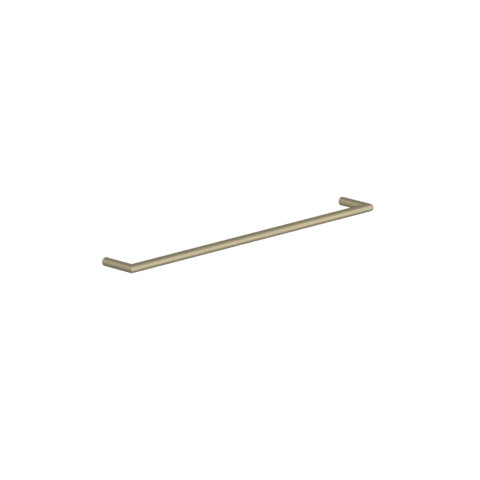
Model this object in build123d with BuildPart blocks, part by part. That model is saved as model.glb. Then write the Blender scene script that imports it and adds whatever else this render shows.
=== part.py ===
# Wall-mounted towel holder: a straight bar on two short arms, all of one round tube, mitred and
# welded at the corners. Each arm slides over a turned spigot on the wall, and a set screw in the
# underside of the arm bears in a groove of the spigot and draws the arm tight against the wall.
#
# Frame: the origin is on the wall, midway between the two fixings. X runs along the bar, Y points
# into the wall and Z is up. Every length is in millimetres and every angle in degrees.

import os
from math import radians, sin, tan

from build123d import *

# Rail: the bar and its arms
fixing_centres = 600  # from one wall screw to the other, and between the arms' centre lines
projection = 76  # from the wall to the front of the bar
tube_diameter = 16
tube_wall = 2
arm_end_round = 1  # soft outer edge where an arm meets the wall
bore_lead_in = 0.3  # chamfer inside the same end

# Spigots that the arms slide over
spigot_length = 22
spigot_clearance = 0.05  # all round, between a spigot and the bore of its arm
spigot_lead_in = 0.8
spigot_back_edge = 0.3
wall_screw_hole = 4.8
wall_screw_head = 8.8  # across the top of the countersink
countersink_angle = 90

# Set screws in the underside of the arms
set_screw_diameter = 4
set_screw_from_wall = 10
set_screw_recess = 0.2  # below the lowest line of the arm
set_screw_bite = 1.15  # how far the point reaches into the spigot
set_screw_edge = 0.3
point_angle = 120
point_flat = 0.4
hex_across_flats = 2
hex_depth = 1.4
thread_clearance = 0.03
draw_in = 0.3  # the groove lies this much nearer to the wall than the screw
seat_clearance = 0.05  # between the point's flank and the groove's

# Radii and places that follow from the sizes above
tube_radius = tube_diameter / 2
bore_radius = tube_radius - tube_wall
spigot_radius = bore_radius - spigot_clearance
end_round = min(arm_end_round, tube_wall / 2)
bar_y = tube_radius - projection

# Set screw, measured outwards from the centre line of its arm
head_depth = tube_radius - set_screw_recess
tip_depth = spigot_radius - set_screw_bite
point_slope = tan(radians(point_angle / 2))
shoulder_depth = tip_depth + (set_screw_diameter - point_flat) / 2 / point_slope
screw_y = -set_screw_from_wall

# Groove with the same flank angle as the point, so that the two lie flank to flank
point_apex = tip_depth - point_flat / 2 / point_slope
groove_root = point_apex - draw_in / point_slope - seat_clearance / sin(radians(point_angle / 2))
groove_half_width = (bore_radius - groove_root) * point_slope
groove_y = screw_y + draw_in


def corner_plane(direction):
    """Mitre plane of the left (-1) or right (1) corner, facing the bar."""
    corner = (direction * fixing_centres / 2, bar_y, 0)
    return Plane(origin=corner, x_dir=(0, 0, 1), z_dir=(-direction, -1, 0))


def save(piece, name):
    """Labels a finished piece and writes it as one STEP file."""
    piece.part.label = name
    export_step(piece.part, f"parts/{name}.step")


os.makedirs("parts", exist_ok=True)

# Bar, cut to its length by the two mitres
with BuildPart() as bar:
    with BuildSketch(Plane(origin=(0, bar_y, 0), z_dir=(1, 0, 0))):
        Circle(tube_radius)
        Circle(bore_radius, mode=Mode.SUBTRACT)
    extrude(amount=fixing_centres / 2 + tube_diameter, both=True)
    split(bisect_by=corner_plane(-1), keep=Keep.TOP)
    split(bisect_by=corner_plane(1), keep=Keep.TOP)
save(bar, "bar")

for side, direction in (("left", -1), ("right", 1)):
    arm_x = direction * fixing_centres / 2
    wall = Plane(origin=(arm_x, 0, 0), x_dir=(1, 0, 0), z_dir=(0, -1, 0))

    # Arm, from the wall to its mitre, with a tapped hole in the underside
    with BuildPart() as arm:
        with BuildSketch(wall):
            Circle(tube_radius)
            Circle(bore_radius, mode=Mode.SUBTRACT)
        extrude(amount=projection + tube_diameter)
        split(bisect_by=corner_plane(direction), keep=Keep.BOTTOM)
        mouth_edges = arm.edges().filter_by(GeomType.CIRCLE).sort_by(SortBy.RADIUS)
        chamfer(mouth_edges[0], length=bore_lead_in)
        fillet(mouth_edges[-1], radius=end_round)
        with Locations(Plane(origin=(arm_x, screw_y, -tube_radius), z_dir=(0, 0, -1))):
            Hole(set_screw_diameter / 2 + thread_clearance, depth=tube_radius)
    save(arm, f"{side}_arm")

    # Spigot, turned, with the groove for the set screw and a countersunk hole for the wall screw
    with BuildPart() as spigot:
        with BuildSketch(wall):
            Circle(spigot_radius)
        extrude(amount=spigot_length)
        rims = spigot.edges().filter_by(GeomType.CIRCLE).sort_by(Axis.Y)
        chamfer(rims[0], length=spigot_lead_in)
        chamfer(rims[-1], length=spigot_back_edge)
        with BuildSketch(Plane(origin=(arm_x, groove_y, 0))):
            with BuildLine():
                Polyline(
                    (groove_root, 0),
                    (bore_radius, groove_half_width),
                    (bore_radius, -groove_half_width),
                    close=True,
                )
            make_face()
        revolve(axis=Axis((arm_x, 0, 0), (0, 1, 0)), mode=Mode.SUBTRACT)
        with Locations(wall.offset(spigot_length)):
            CounterSinkHole(
                wall_screw_hole / 2,
                wall_screw_head / 2,
                counter_sink_angle=countersink_angle,
            )
    save(spigot, f"{side}_wall_spigot")

    # Set screw, point upwards, with its hexagon socket open below
    with BuildPart() as set_screw:
        with BuildSketch(Plane(origin=(arm_x, screw_y, 0), x_dir=(1, 0, 0), z_dir=(0, -1, 0))):
            with BuildLine():
                Polyline(
                    (0, -head_depth),
                    (set_screw_diameter / 2 - set_screw_edge, -head_depth),
                    (set_screw_diameter / 2, set_screw_edge - head_depth),
                    (set_screw_diameter / 2, -shoulder_depth),
                    (point_flat / 2, -tip_depth),
                    (0, -tip_depth),
                    close=True,
                )
            make_face()
        revolve(axis=Axis((arm_x, screw_y, 0), (0, 0, 1)))
        with BuildSketch(Plane.XY.offset(-head_depth)):
            with Locations((arm_x, screw_y)):
                RegularPolygon(hex_across_flats / 2, side_count=6, major_radius=False)
        extrude(amount=hex_depth, mode=Mode.SUBTRACT)
    save(set_screw, f"{side}_set_screw")
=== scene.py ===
import math

import bmesh
import bpy
from mathutils import Matrix, Vector


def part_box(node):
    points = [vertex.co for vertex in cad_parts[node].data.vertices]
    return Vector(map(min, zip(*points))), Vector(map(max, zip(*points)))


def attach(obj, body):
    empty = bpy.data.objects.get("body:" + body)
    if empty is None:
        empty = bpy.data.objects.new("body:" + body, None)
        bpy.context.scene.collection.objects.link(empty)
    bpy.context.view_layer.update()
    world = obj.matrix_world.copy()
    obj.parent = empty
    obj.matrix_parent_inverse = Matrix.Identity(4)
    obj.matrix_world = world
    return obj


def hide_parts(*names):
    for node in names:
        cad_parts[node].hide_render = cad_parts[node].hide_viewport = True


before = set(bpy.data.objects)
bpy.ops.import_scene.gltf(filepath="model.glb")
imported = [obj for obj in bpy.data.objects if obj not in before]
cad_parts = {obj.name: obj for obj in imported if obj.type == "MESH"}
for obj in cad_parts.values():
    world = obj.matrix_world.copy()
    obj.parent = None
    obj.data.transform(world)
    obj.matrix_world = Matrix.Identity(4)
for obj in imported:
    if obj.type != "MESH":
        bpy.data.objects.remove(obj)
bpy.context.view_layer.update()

mm = 0.001
snap = 0.001 * mm  # cuts and merges
tiny = 0.01 * mm  # room when edges are picked by their place


def tenth(length):
    # to a tenth of a millimetre, clear of the facets
    return round(length, 4)


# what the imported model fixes: the tube, the centre lines, the wall and the hidden fixing
barLow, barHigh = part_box("bar")
armLow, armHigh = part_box("right_arm")
spigotLow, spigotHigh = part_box("right_wall_spigot")
screwLow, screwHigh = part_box("right_set_screw")
tubeRadius = tenth((barHigh.z - barLow.z) / 2)
barY = tenth((barLow.y + barHigh.y) / 2)
armX = tenth((armLow.x + armHigh.x) / 2)
wallY = tenth(armHigh.y)
spigotLength = tenth(spigotHigh.y - spigotLow.y)
screwRadius = tenth((screwHigh.y - screwLow.y) / 2)
screwY = tenth((screwLow.y + screwHigh.y) / 2)
screwHead, screwTip = tenth(screwLow.z), tenth(screwHigh.z)
sides = {"left": -1, "right": 1}
xAxis, yAxis, zAxis = Vector((1, 0, 0)), Vector((0, 1, 0)), Vector((0, 0, 1))
print("frame: tube", round(2 * tubeRadius / mm, 2), "mm, fixing centres", round(2 * armX / mm, 1), "mm")


# small helpers for meshes

def newPiece(name, bm):
    mesh = bpy.data.meshes.new(name)
    bm.to_mesh(mesh)
    bm.free()
    piece = bpy.data.objects.new(name, mesh)
    bpy.context.scene.collection.objects.link(piece)
    return piece


def dress(piece, node, material):
    piece.data.materials.append(material)
    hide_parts(node)
    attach(piece, "root")


def everything(bm):
    return bm.verts[:] + bm.edges[:] + bm.faces[:]


def cutAway(bm, point, normal, keepFront):
    bmesh.ops.bisect_plane(
        bm, geom=everything(bm), dist=snap, plane_co=point, plane_no=normal,
        clear_inner=keepFront, clear_outer=not keepFront,
    )


def addRing(bm, point, normal):
    bmesh.ops.bisect_plane(bm, geom=everything(bm), dist=snap, plane_co=point, plane_no=normal)


def roundOff(bm, edges, width, steps=1):
    # one step makes a chamfer
    bmesh.ops.bevel(
        bm, geom=edges, offset=width, offset_type="OFFSET", affect="EDGES",
        segments=steps, profile=0.5, material=-1, clamp_overlap=True,
    )


def edgesWhere(bm, test):
    return [edge for edge in bm.edges if all(test(vert.co) for vert in edge.verts)]


def isCrease(edge, degrees):
    return edge.is_manifold and edge.calc_face_angle() > math.radians(degrees)


def smoothShade(bm, degrees):
    for face in bm.faces:
        face.smooth = True
    for edge in bm.edges:
        edge.smooth = not isCrease(edge, degrees)


def turned(points, centre, axis, steps):
    # points are places in space, joined in order and turned once round the axis
    bm = bmesh.new()
    corners = [bm.verts.new(point) for point in points]
    outline = [bm.edges.new(pair) for pair in zip(corners, corners[1:])]
    bmesh.ops.spin(
        bm, geom=corners + outline, cent=centre, axis=axis,
        angle=2 * math.pi, steps=steps, use_merge=True,
    )
    bmesh.ops.remove_doubles(bm, verts=bm.verts[:], dist=snap)
    bmesh.ops.recalc_face_normals(bm, faces=bm.faces[:])
    return bm


# small helpers for materials

noiseSpan = (0.3, 0.7)  # where a noise has nearly all its values


def emptyTree(owner):
    owner.use_nodes = True
    owner.node_tree.nodes.clear()
    return owner.node_tree


def addNode(tree, kind, inputs=None, **settings):
    node = tree.nodes.new(kind)
    for name, value in settings.items():
        setattr(node, name, value)
    for name, value in (inputs or {}).items():
        if isinstance(value, bpy.types.NodeSocket):
            tree.links.new(value, node.inputs[name])
        else:
            node.inputs[name].default_value = value
    return node


def mathNode(tree, operation, *values):
    return addNode(tree, "ShaderNodeMath", dict(enumerate(values)), operation=operation).outputs[0]


def apart(tree, point, place=(0, 0, 0)):
    node = addNode(tree, "ShaderNodeVectorMath", {0: point, 1: place}, operation="DISTANCE")
    return node.outputs["Value"]


def between(tree, value, span, levels, smooth=False):
    return addNode(tree, "ShaderNodeMapRange", {
        "Value": value, "From Min": span[0], "From Max": span[1],
        "To Min": levels[0], "To Max": levels[1],
    }, interpolation_type="SMOOTHSTEP" if smooth else "LINEAR").outputs["Result"]


def ramp(tree, factor, stops):
    node = addNode(tree, "ShaderNodeValToRGB", {"Fac": factor})
    elements = node.color_ramp.elements
    while len(elements) < len(stops):
        elements.new(1.0)
    for element, (position, colour) in zip(elements, stops):
        element.position = position
        element.color = (*colour, 1)
    return node.outputs["Color"]


def stretchedNoise(tree, coords, scale, detail):
    place = addNode(tree, "ShaderNodeMapping", {"Vector": coords, "Scale": scale}).outputs["Vector"]
    noise = addNode(tree, "ShaderNodeTexNoise", {"Vector": place, "Scale": 1.0, "Detail": detail})
    return noise.outputs["Fac"]


def varied(tree, noise, colour, swing):
    # the colour, a little darker and paler with the noise
    return ramp(tree, noise, [
        (place, tuple(channel * factor for channel in colour))
        for place, factor in zip(noiseSpan, (1 - swing, 1 + swing))
    ])


# rail finish: champagne brass, brushed lengthways to a satin

champagne = {
    "tone": (0.56, 0.50, 0.33),
    "toneSwing": 0.1,  # from hairline to hairline
    "streakSwing": 0.06,
    "roughness": (0.35, 0.49),
    "edgeTint": (0.05, 0.045, 0.02),  # keeps the outlines of the tube warm and dark
    "anisotropy": 0.5,
    "hairlines": (25, 4000),  # per metre along the tube and across it
    "hairlineDetail": 4,
    "hairlineDepth": 0.02 * mm,
    "hairlineStrength": 0.6,
    "streaks": (6, 700),
    "streakDetail": 2,
    "handling": 30,  # per metre: soft patches, a little duller or brighter
    "handlingDetail": 2,
    "handlingSwing": 0.02,
    "weldBuffedAndHighlight": 1.3,  # how much paler the weld is than the tube: the ground weld, and a painted highlight along the crease
    "weldWidth": (0.4 * mm, 0.9 * mm),  # from the mitre, fully and not at all
    "endBuffed": 1.15,
    "endWidth": (0.7 * mm, 1.6 * mm),  # from the wall
}


def buffedEdgesAndCreaseHighlight(tree, coords):
    # paler round the wall ends, where polishing has worn through the brushing, and along each mitre,
    # where the paleness is the ground weld and a painted highlight on the crease
    part = addNode(tree, "ShaderNodeSeparateXYZ", {"Vector": coords}).outputs
    mirrored = mathNode(tree, "ABSOLUTE", part["X"])
    past = mathNode(tree, "SUBTRACT", mathNode(tree, "ADD", mirrored, part["Y"]), armX + barY)
    fromMitre = mathNode(tree, "MULTIPLY", mathNode(tree, "ABSOLUTE", past), math.sqrt(0.5))
    fromWall = mathNode(tree, "SUBTRACT", wallY, part["Y"])
    # along each mitre: the ground weld's paleness, and a painted highlight standing in for the light
    # the crease catches
    weld = between(tree, fromMitre, champagne["weldWidth"], (champagne["weldBuffedAndHighlight"], 1), smooth=True)
    end = between(tree, fromWall, champagne["endWidth"], (champagne["endBuffed"], 1), smooth=True)
    return mathNode(tree, "MULTIPLY", weld, end)


def brushedChampagne(name, axis):
    material = bpy.data.materials.new(name)
    tree = emptyTree(material)
    coords = addNode(tree, "ShaderNodeTexCoord").outputs["Object"]

    def grain(per, detail):
        along, across = per
        return stretchedNoise(tree, coords, tuple(along if part else across for part in axis), detail)

    hairlines = grain(champagne["hairlines"], champagne["hairlineDetail"])
    streaks = grain(champagne["streaks"], champagne["streakDetail"])
    patches = stretchedNoise(tree, coords, (champagne["handling"],) * 3, champagne["handlingDetail"])
    drift, handled = champagne["streakSwing"], champagne["handlingSwing"]
    tone = varied(tree, hairlines, champagne["tone"], champagne["toneSwing"])
    streaked = between(tree, streaks, noiseSpan, (1 - drift, 1 + drift))
    paler = mathNode(tree, "MULTIPLY", buffedEdgesAndCreaseHighlight(tree, coords), streaked)
    colour = addNode(tree, "ShaderNodeVectorMath", {"Vector": tone, "Scale": paler}, operation="SCALE")
    roughness = mathNode(
        tree, "ADD", between(tree, hairlines, noiseSpan, champagne["roughness"]),
        between(tree, patches, noiseSpan, (-handled, handled)),
    )
    bump = addNode(tree, "ShaderNodeBump", {
        "Height": hairlines,
        "Strength": champagne["hairlineStrength"],
        "Distance": champagne["hairlineDepth"],
    })
    around = addNode(tree, "ShaderNodeTangent", direction_type="UV_MAP", uv_map="around")
    metal = addNode(tree, "ShaderNodeBsdfPrincipled", {
        "Base Color": colour.outputs["Vector"],
        "Metallic": 1.0,
        "Roughness": roughness,
        "Specular Tint": (*champagne["edgeTint"], 1),
        "Anisotropic": champagne["anisotropy"],
        "Tangent": around.outputs["Tangent"],
        "Normal": bump.outputs["Normal"],
    })
    addNode(tree, "ShaderNodeOutputMaterial", {"Surface": metal.outputs["BSDF"]})
    return material


# rail: one welded U of round tube, parted at the mitres into a bar and two arms

rail = {
    "segments": 96,
    "wall": 2 * mm,
    "cornerRound": 0.5 * mm,  # weld ground flush along each mitre
    "cornerSteps": 8,
    "endRound": 1 * mm,
    "endSteps": 6,
    "boreLeadIn": 0.3 * mm,
    "overshoot": 20 * mm,  # cut off again by the mitres
    "ringGap": 0.6 * mm,  # from a rounding to the ring that holds the long faces straight
    "threadClearance": 0.03 * mm,  # all round the set screw
    "holeEdge": 0.2 * mm,
    "holeSteps": 64,
    "drillReach": (0.5, 1.3),  # in tube radii, from the centre line
    "sharpFrom": 35,  # degrees between faces
}
boreRadius = tubeRadius - rail["wall"]


def mitre(direction):
    return Vector((direction * armX, barY, 0)), Vector((-direction, -1, 0)).normalized()


def addTube(bm, start, end, radius):
    along = end - start
    turn = along.to_track_quat("Z", "Y").to_matrix().to_4x4()
    bmesh.ops.create_cone(
        bm, cap_ends=False, segments=rail["segments"], radius1=radius, radius2=radius,
        depth=along.length, matrix=Matrix.Translation((start + end) / 2) @ turn,
    )


def pour(source, target):
    scrap = bpy.data.meshes.new("scrap")
    source.to_mesh(scrap)
    source.free()
    target.from_mesh(scrap)
    bpy.data.meshes.remove(scrap)


def atWallEnd(point, radius):
    outward = math.hypot(abs(point.x) - armX, point.z)
    return abs(point.y - wallY) < tiny and abs(outward - radius) < tiny


def closeWallEnd(bm, direction):
    # the outer rim, drawn in to the bore
    rim = edgesWhere(bm, lambda point: atWallEnd(point, tubeRadius) and point.x * direction > 0)
    drawn = bmesh.ops.extrude_edge_only(bm, edges=rim)["geom"]
    inward = boreRadius / tubeRadius
    bmesh.ops.scale(
        bm, vec=(inward, 1, inward), space=Matrix.Translation((-direction * armX, 0, 0)),
        verts=[part for part in drawn if isinstance(part, bmesh.types.BMVert)],
    )


def weldedRail():
    whole = bmesh.new()
    reach = armX + rail["overshoot"]
    for radius in (tubeRadius, boreRadius):
        bar = bmesh.new()
        addTube(bar, Vector((-reach, barY, 0)), Vector((reach, barY, 0)), radius)
        for direction in sides.values():
            cutAway(bar, *mitre(direction), keepFront=True)
            arm = bmesh.new()
            foot = Vector((direction * armX, wallY, 0))
            addTube(arm, foot, Vector((foot.x, barY - rail["overshoot"], 0)), radius)
            cutAway(arm, *mitre(direction), keepFront=False)
            pour(arm, whole)
        pour(bar, whole)
    for direction in sides.values():
        closeWallEnd(whole, direction)
    bmesh.ops.remove_doubles(whole, verts=whole.verts[:], dist=tiny)
    bmesh.ops.recalc_face_normals(whole, faces=whole.faces[:])
    return whole


def onCrease(point, direction):
    corner, facing = mitre(direction)
    onPlane = abs((point - corner).dot(facing)) < tiny
    return onPlane and math.hypot(point.y - barY, point.z) > boreRadius + tiny


def softenRail(bm):
    ringAway = rail["cornerRound"] + rail["ringGap"]
    boreRims = edgesWhere(bm, lambda point: atWallEnd(point, boreRadius))
    roundOff(bm, boreRims, rail["boreLeadIn"])
    outerRims = edgesWhere(bm, lambda point: atWallEnd(point, tubeRadius))
    roundOff(bm, outerRims, rail["endRound"], rail["endSteps"])
    for direction in sides.values():
        crease = edgesWhere(bm, lambda point: onCrease(point, direction))
        roundOff(bm, crease, rail["cornerRound"], rail["cornerSteps"])
        corner, facing = mitre(direction)
        for away in (-ringAway, ringAway):
            addRing(bm, corner + facing * away, facing)
    addRing(bm, Vector((0, wallY - rail["endRound"] - rail["ringGap"], 0)), yAxis)


def parted(whole, cuts, keepFront):
    bm = whole.copy()
    for point, normal in cuts:
        cutAway(bm, point, normal, keepFront)
        rims = [edge for edge in bm.edges if edge.is_boundary]
        bmesh.ops.triangle_fill(bm, edges=rims, normal=normal)  # the bore stays open
    bmesh.ops.recalc_face_normals(bm, faces=bm.faces[:])
    return bm


def drilled(piece, direction):
    # tapped hole for the set screw, through the lower wall only
    radius, edge = screwRadius + rail["threadClearance"], rail["holeEdge"]
    centre = Vector((direction * armX, screwY, 0))
    inside, outside = (-reach * tubeRadius for reach in rail["drillReach"])
    outline = [
        (0, inside),
        (radius, inside),
        (radius, edge - tubeRadius),
        (radius + edge, -tubeRadius),
        (radius + edge, outside),
        (0, outside),
    ]
    points = [centre + xAxis * out + zAxis * up for out, up in outline]
    cutter = newPiece("drill", turned(points, centre, zAxis, rail["holeSteps"]))
    cut = piece.modifiers.new("hole", "BOOLEAN")
    cut.object = cutter
    cut.solver = "MANIFOLD"
    bpy.context.view_layer.update()
    shaped = piece.evaluated_get(bpy.context.evaluated_depsgraph_get())
    undrilled = piece.data
    piece.data = bpy.data.meshes.new_from_object(shaped)
    piece.data.materials.clear()  # the cut leaves an empty slot
    piece.modifiers.clear()
    bpy.data.meshes.remove(undrilled)
    bpy.data.objects.remove(cutter)


def wrapUv(bm, origin, axis):
    # U runs round the tube and V along it, for the brushing's direction
    layer = bm.loops.layers.uv.new("around")
    across = zAxis.cross(axis)

    def polar(point):
        out = point - origin
        return math.atan2(out.z, out.dot(across)), math.hypot(out.z, out.dot(across)), out.dot(axis)

    for face in bm.faces:
        middle = polar(face.calc_center_median())[0]
        for loop in face.loops:
            angle, outward, along = polar(loop.vert.co)
            turn = middle + (angle - middle + math.pi) % (2 * math.pi) - math.pi
            loop[layer].uv = (turn * tubeRadius, along - outward)


def finishTube(piece, origin, axis):
    bm = bmesh.new()
    bm.from_mesh(piece.data)
    bmesh.ops.dissolve_degenerate(bm, dist=tiny, edges=bm.edges[:])  # slivers left by the cuts
    wrapUv(bm, origin, axis)
    smoothShade(bm, rail["sharpFrom"])
    bm.to_mesh(piece.data)
    bm.free()


whole = weldedRail()
softenRail(whole)
bothMitres = [mitre(direction) for direction in sides.values()]
bar = newPiece("railBar", parted(whole, bothMitres, keepFront=True))
finishTube(bar, Vector((0, barY, 0)), xAxis)
dress(bar, "bar", brushedChampagne("champagneBar", xAxis))
armFinish = brushedChampagne("champagneArm", yAxis)
for side, direction in sides.items():
    arm = newPiece(side + "Arm", parted(whole, [mitre(direction)], keepFront=False))
    drilled(arm, direction)
    finishTube(arm, Vector((direction * armX, 0, 0)), yAxis)
    dress(arm, side + "_arm", armFinish)
whole.free()
print("rail: bar", len(bar.data.polygons), "faces, arms", len(arm.data.polygons), "faces each")


# set screws: stainless, cone point upwards, hexagon socket open below

setScrew = {
    "segments": 72,
    "edge": 0.3 * mm,
    "pointAngle": 120,
    "tipRadius": 0.2 * mm,
    "pitch": 0.7 * mm,
    "threadDepth": 0.3 * mm,
    "threadRings": 36,
    "runOut": 0.3,  # of a pitch, at both ends of the thread
    "hexAcross": 2 * mm,
    "hexDepth": 1.4 * mm,
    "hexMouth": 0.1 * mm,
    "drillPoint": 0.3 * mm,
    "sharpFrom": 30,  # degrees between faces
    "tone": (0.55, 0.55, 0.53),
    "toneSwing": 0.07,
    "roughness": (0.22, 0.34),
    "scuffs": 4000,  # per metre
    "scuffDetail": 3,
}
halfPoint = math.radians(setScrew["pointAngle"] / 2)
screwShoulder = screwTip - (screwRadius - setScrew["tipRadius"]) / math.tan(halfPoint)
threadStart = screwHead + setScrew["edge"]


def screwSteel():
    material = bpy.data.materials.new("screwSteel")
    tree = emptyTree(material)
    coords = addNode(tree, "ShaderNodeTexCoord").outputs["Object"]
    scuffs = stretchedNoise(tree, coords, (setScrew["scuffs"],) * 3, setScrew["scuffDetail"])
    metal = addNode(tree, "ShaderNodeBsdfPrincipled", {
        "Base Color": varied(tree, scuffs, setScrew["tone"], setScrew["toneSwing"]),
        "Metallic": 1.0,
        "Roughness": between(tree, scuffs, noiseSpan, setScrew["roughness"]),
    })
    addNode(tree, "ShaderNodeOutputMaterial", {"Surface": metal.outputs["BSDF"]})
    return material


def hexagon(angle, across):
    sixth = math.pi / 3
    return across / 2 / math.cos(angle % sixth - sixth / 2)


def threadRadius(angle, height):
    turn = (height / setScrew["pitch"] - angle / (2 * math.pi)) % 1
    valley = abs(2 * turn - 1)  # 1 at the root, 0 at the crest
    fromEnd = min(height - threadStart, screwShoulder - height)
    runOut = min(1, fromEnd / (setScrew["runOut"] * setScrew["pitch"]))
    return screwRadius - setScrew["threadDepth"] * runOut * valley


def shapedScrew(direction):
    socket, mouth, rings = setScrew["hexAcross"] / 2, setScrew["hexMouth"], setScrew["threadRings"]
    socketEnd = screwHead + setScrew["hexDepth"]
    centre = Vector((direction * armX, screwY, 0))
    outline = [
        (0, socketEnd + setScrew["drillPoint"]),
        (socket, socketEnd),
        (socket, screwHead + mouth),
        (socket + mouth, screwHead),
        (screwRadius - setScrew["edge"], screwHead),
    ]
    ringGap = (screwShoulder - threadStart) / rings
    outline += [(screwRadius, threadStart + ringGap * step) for step in range(rings + 1)]
    outline += [(setScrew["tipRadius"], screwTip), (0, screwTip)]
    points = [centre + xAxis * out + zAxis * up for out, up in outline]
    bm = turned(points, centre, zAxis, setScrew["segments"])

    # round the axis, the socket gets its six flats and the shank its thread
    for vert in bm.verts:
        away = vert.co - centre
        angle, outward, height = math.atan2(away.y, away.x), math.hypot(away.x, away.y), away.z
        if abs(outward - screwRadius) < tiny:
            outward = threadRadius(angle, height)
        elif tiny < outward < socket + mouth + tiny and height < socketEnd + tiny:
            outward = hexagon(angle, 2 * outward)
        vert.co = centre + Vector((math.cos(angle) * outward, math.sin(angle) * outward, height))
    smoothShade(bm, setScrew["sharpFrom"])
    return bm


steel = screwSteel()
for side, direction in sides.items():
    piece = newPiece(side + "SetScrew", shapedScrew(direction))
    dress(piece, side + "_set_screw", steel)
print("set screws:", len(piece.data.polygons), "faces each")


# wall spigots: turned brass, with a groove for the set screw and a countersunk hole for the wall screw

spigot = {
    "segments": 96,
    "clearance": 0.05 * mm,  # all round, in the bore of the arm
    "leadIn": 0.8 * mm,
    "backEdge": 0.3 * mm,
    "hole": 2.4 * mm,
    "countersink": 4.4 * mm,
    "drawIn": 0.3 * mm,  # how much nearer to the wall the groove lies than the screw
    "seatClearance": 0.05 * mm,  # between the screw's point and the groove
    "edgeBreak": 0.08 * mm,
    "edgeSteps": 2,
    "sharpFrom": 25,  # degrees between faces
    "tone": (0.62, 0.47, 0.22),
    "toneSwing": 0.06,
    "roughness": (0.24, 0.36),
    "toolMarks": 9000,  # per metre
    "toolMarkDetail": 3,
    "toolMarkDepth": 0.003 * mm,
    "toolMarkStrength": 0.3,
}


def turnedBrass():
    material = bpy.data.materials.new("turnedBrass")
    tree = emptyTree(material)
    coords = addNode(tree, "ShaderNodeTexCoord").outputs["Object"]
    part = addNode(tree, "ShaderNodeSeparateXYZ", {"Vector": coords}).outputs
    # the same on both sides: distance from the arm's centre line plus depth gives rings on every face
    across = mathNode(tree, "SUBTRACT", mathNode(tree, "ABSOLUTE", part["X"]), armX)
    flat = addNode(tree, "ShaderNodeCombineXYZ", {"X": across, "Z": part["Z"]}).outputs["Vector"]
    rings = addNode(tree, "ShaderNodeTexNoise", {
        "W": mathNode(tree, "SUBTRACT", apart(tree, flat), part["Y"]),
        "Scale": spigot["toolMarks"],
        "Detail": spigot["toolMarkDetail"],
    }, noise_dimensions="1D").outputs["Fac"]
    bump = addNode(tree, "ShaderNodeBump", {
        "Height": rings,
        "Strength": spigot["toolMarkStrength"],
        "Distance": spigot["toolMarkDepth"],
    })
    metal = addNode(tree, "ShaderNodeBsdfPrincipled", {
        "Base Color": varied(tree, rings, spigot["tone"], spigot["toneSwing"]),
        "Metallic": 1.0,
        "Roughness": between(tree, rings, noiseSpan, spigot["roughness"]),
        "Normal": bump.outputs["Normal"],
    })
    addNode(tree, "ShaderNodeOutputMaterial", {"Surface": metal.outputs["BSDF"]})
    return material


def wallSpigot(direction):
    radius, length = boreRadius - spigot["clearance"], spigotLength
    # the groove has the flanks of the screw's point, which lies in it flank to flank
    slope = math.tan(halfPoint)
    apex = -screwTip - setScrew["tipRadius"] / slope
    root = apex - spigot["drawIn"] / slope - spigot["seatClearance"] / math.sin(halfPoint)
    groove = wallY - screwY - spigot["drawIn"]
    halfGroove = (radius - root) * slope
    sink = spigot["countersink"] - spigot["hole"]  # as deep as it is wide
    outline = [
        (spigot["hole"], 0),
        (radius - spigot["backEdge"], 0),
        (radius, spigot["backEdge"]),
        (radius, groove - halfGroove),
        (root, groove),
        (radius, groove + halfGroove),
        (radius, length - spigot["leadIn"]),
        (radius - spigot["leadIn"], length),
        (spigot["countersink"], length),
        (spigot["hole"], length - sink),
        (spigot["hole"], 0),
    ]
    foot = Vector((direction * armX, wallY, 0))
    points = [foot + xAxis * out - yAxis * deep for out, deep in outline]
    bm = turned(points, foot, yAxis, spigot["segments"])
    creases = [edge for edge in bm.edges if isCrease(edge, spigot["sharpFrom"])]
    roundOff(bm, creases, spigot["edgeBreak"], spigot["edgeSteps"])
    smoothShade(bm, spigot["sharpFrom"])
    return bm


brass = turnedBrass()
for side, direction in sides.items():
    piece = newPiece(side + "Spigot", wallSpigot(direction))
    dress(piece, side + "_wall_spigot", brass)
print("spigots:", len(piece.data.polygons), "faces each")


# floor, well below the rail

floor = {
    "drop": 3.0,
    "size": 60.0,
    "colour": (0.8, 0.8, 0.8),
    "pool": (8.5, 8.5, 0),  # white patch behind the rail, in the photo's line of sight
    "poolEdge": (5.0, 8.0),  # white within, pale grey beyond
    "glow": (0.72, 0.12),  # in the pool and beyond, on top of the light it gets
    "fades": (16.5, 23.0),  # from the rail, into the walls
}


def seenDirectly(tree):
    # camera, glossy and transmission rays alike
    path = addNode(tree, "ShaderNodeLightPath").outputs
    either = mathNode(tree, "MAXIMUM", path["Is Camera Ray"], path["Is Glossy Ray"])
    return mathNode(tree, "MAXIMUM", either, path["Is Transmission Ray"])


def paleFloor():
    material = bpy.data.materials.new("paleFloor")
    tree = emptyTree(material)
    coords = addNode(tree, "ShaderNodeTexCoord").outputs["Object"]
    level = addNode(tree, "ShaderNodeVectorMath", {0: coords, 1: (1, 1, 0)}, operation="MULTIPLY")
    place = level.outputs["Vector"]
    fromPool = apart(tree, place, floor["pool"])
    white = between(tree, fromPool, floor["poolEdge"], floor["glow"], smooth=True)
    strength = mathNode(tree, "MULTIPLY", white, seenDirectly(tree))
    glow = addNode(tree, "ShaderNodeEmission", {"Strength": strength})
    matte = addNode(tree, "ShaderNodeBsdfDiffuse", {"Color": (*floor["colour"], 1)})
    lit = addNode(tree, "ShaderNodeAddShader", {0: matte.outputs[0], 1: glow.outputs[0]})
    under = addNode(tree, "ShaderNodeNewGeometry").outputs["Backfacing"]  # seen through from below
    faded = between(tree, apart(tree, place), floor["fades"], (0, 1), smooth=True)
    gone = mathNode(tree, "MAXIMUM", under, faded)
    clear = addNode(tree, "ShaderNodeBsdfTransparent")
    shown = addNode(tree, "ShaderNodeMixShader", {0: gone, 1: lit.outputs[0], 2: clear.outputs[0]})
    addNode(tree, "ShaderNodeOutputMaterial", {"Surface": shown.outputs[0]})
    return material


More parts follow.
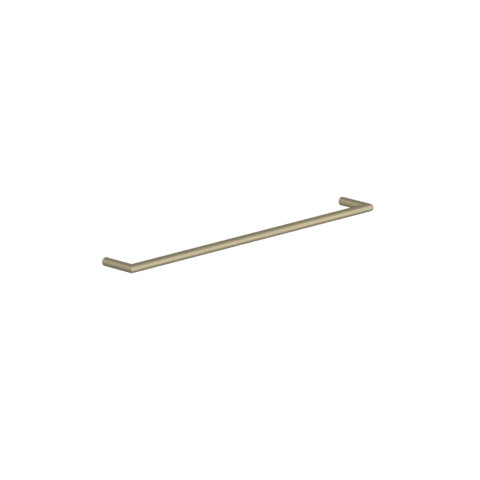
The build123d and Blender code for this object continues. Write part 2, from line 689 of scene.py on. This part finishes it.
bm = bmesh.new()
below = Matrix.Translation((0, 0, -floor["drop"]))
bmesh.ops.create_grid(bm, x_segments=1, y_segments=1, size=floor["size"] / 2, matrix=below)
floorPiece = newPiece("floor", bm)
floorPiece.data.materials.append(paleFloor())


# light: pale walls under a dimmer ceiling, and one broad softbox in front

light = {
    "walls": [(0.0, 0.6), (0.25, 0.8), (0.5, 0.95), (0.75, 0.25)],  # height of the direction, level
    "plain": 0.38,  # what the floor gets from all round
    "softbox": (3.0, 2.6),
    "watts": 18.0,
    "azimuth": 38,  # degrees to the right of the front
    "elevation": -8,
    "away": 3.0,
}


def towards(azimuth, elevation):
    across, up = math.radians(azimuth), math.radians(elevation)
    return Vector((math.sin(across) * math.cos(up), -math.cos(across) * math.cos(up), math.sin(up)))


def paleRoom():
    world = bpy.data.worlds.new("paleRoom")
    tree = emptyTree(world)
    coords = addNode(tree, "ShaderNodeTexCoord").outputs["Generated"]
    height = addNode(tree, "ShaderNodeSeparateXYZ", {"Vector": coords}).outputs["Z"]
    walls = ramp(tree, height, [(place, (level,) * 3) for place, level in light["walls"]])
    seen = addNode(tree, "ShaderNodeBackground", {"Color": walls}).outputs[0]
    plain = addNode(tree, "ShaderNodeBackground", {"Color": (light["plain"],) * 3 + (1,)}).outputs[0]
    mixed = addNode(tree, "ShaderNodeMixShader", {0: seenDirectly(tree), 1: plain, 2: seen})
    addNode(tree, "ShaderNodeOutputWorld", {"Surface": mixed.outputs[0]})
    return world


bpy.context.scene.world = paleRoom()
softbox = bpy.data.lights.new("softbox", "AREA")
softbox.shape = "RECTANGLE"
softbox.size, softbox.size_y = light["softbox"]
softbox.energy = light["watts"]
softboxStand = bpy.data.objects.new("softbox", softbox)
bpy.context.scene.collection.objects.link(softboxStand)
fromSoftbox = towards(light["azimuth"], light["elevation"])
softboxStand.location = fromSoftbox * light["away"]
softboxStand.rotation_euler = fromSoftbox.to_track_quat("Z", "Y").to_euler()
print("floor and light set")


# camera, far off with a long lens: the photo has next to no perspective

view = {
    "azimuth": -44.85,
    "elevation": 15.08,
    "distance": 9.013,
    "lens": 375,
    "sensor": 36,
    "clipEnd": 100,
    "target": Vector((0, -33 * mm, 0)),
    "right": 2.2 * mm,  # the rail sits a little left of and above the middle of the frame
    "up": -11.1 * mm,
}
fromCamera = towards(view["azimuth"], view["elevation"])
turn = fromCamera.to_track_quat("Z", "Y")
camera = bpy.data.cameras.new("camera")
camera.lens = view["lens"]
camera.sensor_width = view["sensor"]
camera.clip_end = view["clipEnd"]
cameraStand = bpy.data.objects.new("camera", camera)
bpy.context.scene.collection.objects.link(cameraStand)
cameraStand.rotation_mode = "QUATERNION"
cameraStand.rotation_quaternion = turn
cameraStand.location = (
    view["target"] + fromCamera * view["distance"] + turn @ Vector((view["right"], view["up"], 0))
)
bpy.context.scene.camera = cameraStand
bpy.context.scene.view_settings.view_transform = "Standard"
print("camera set")
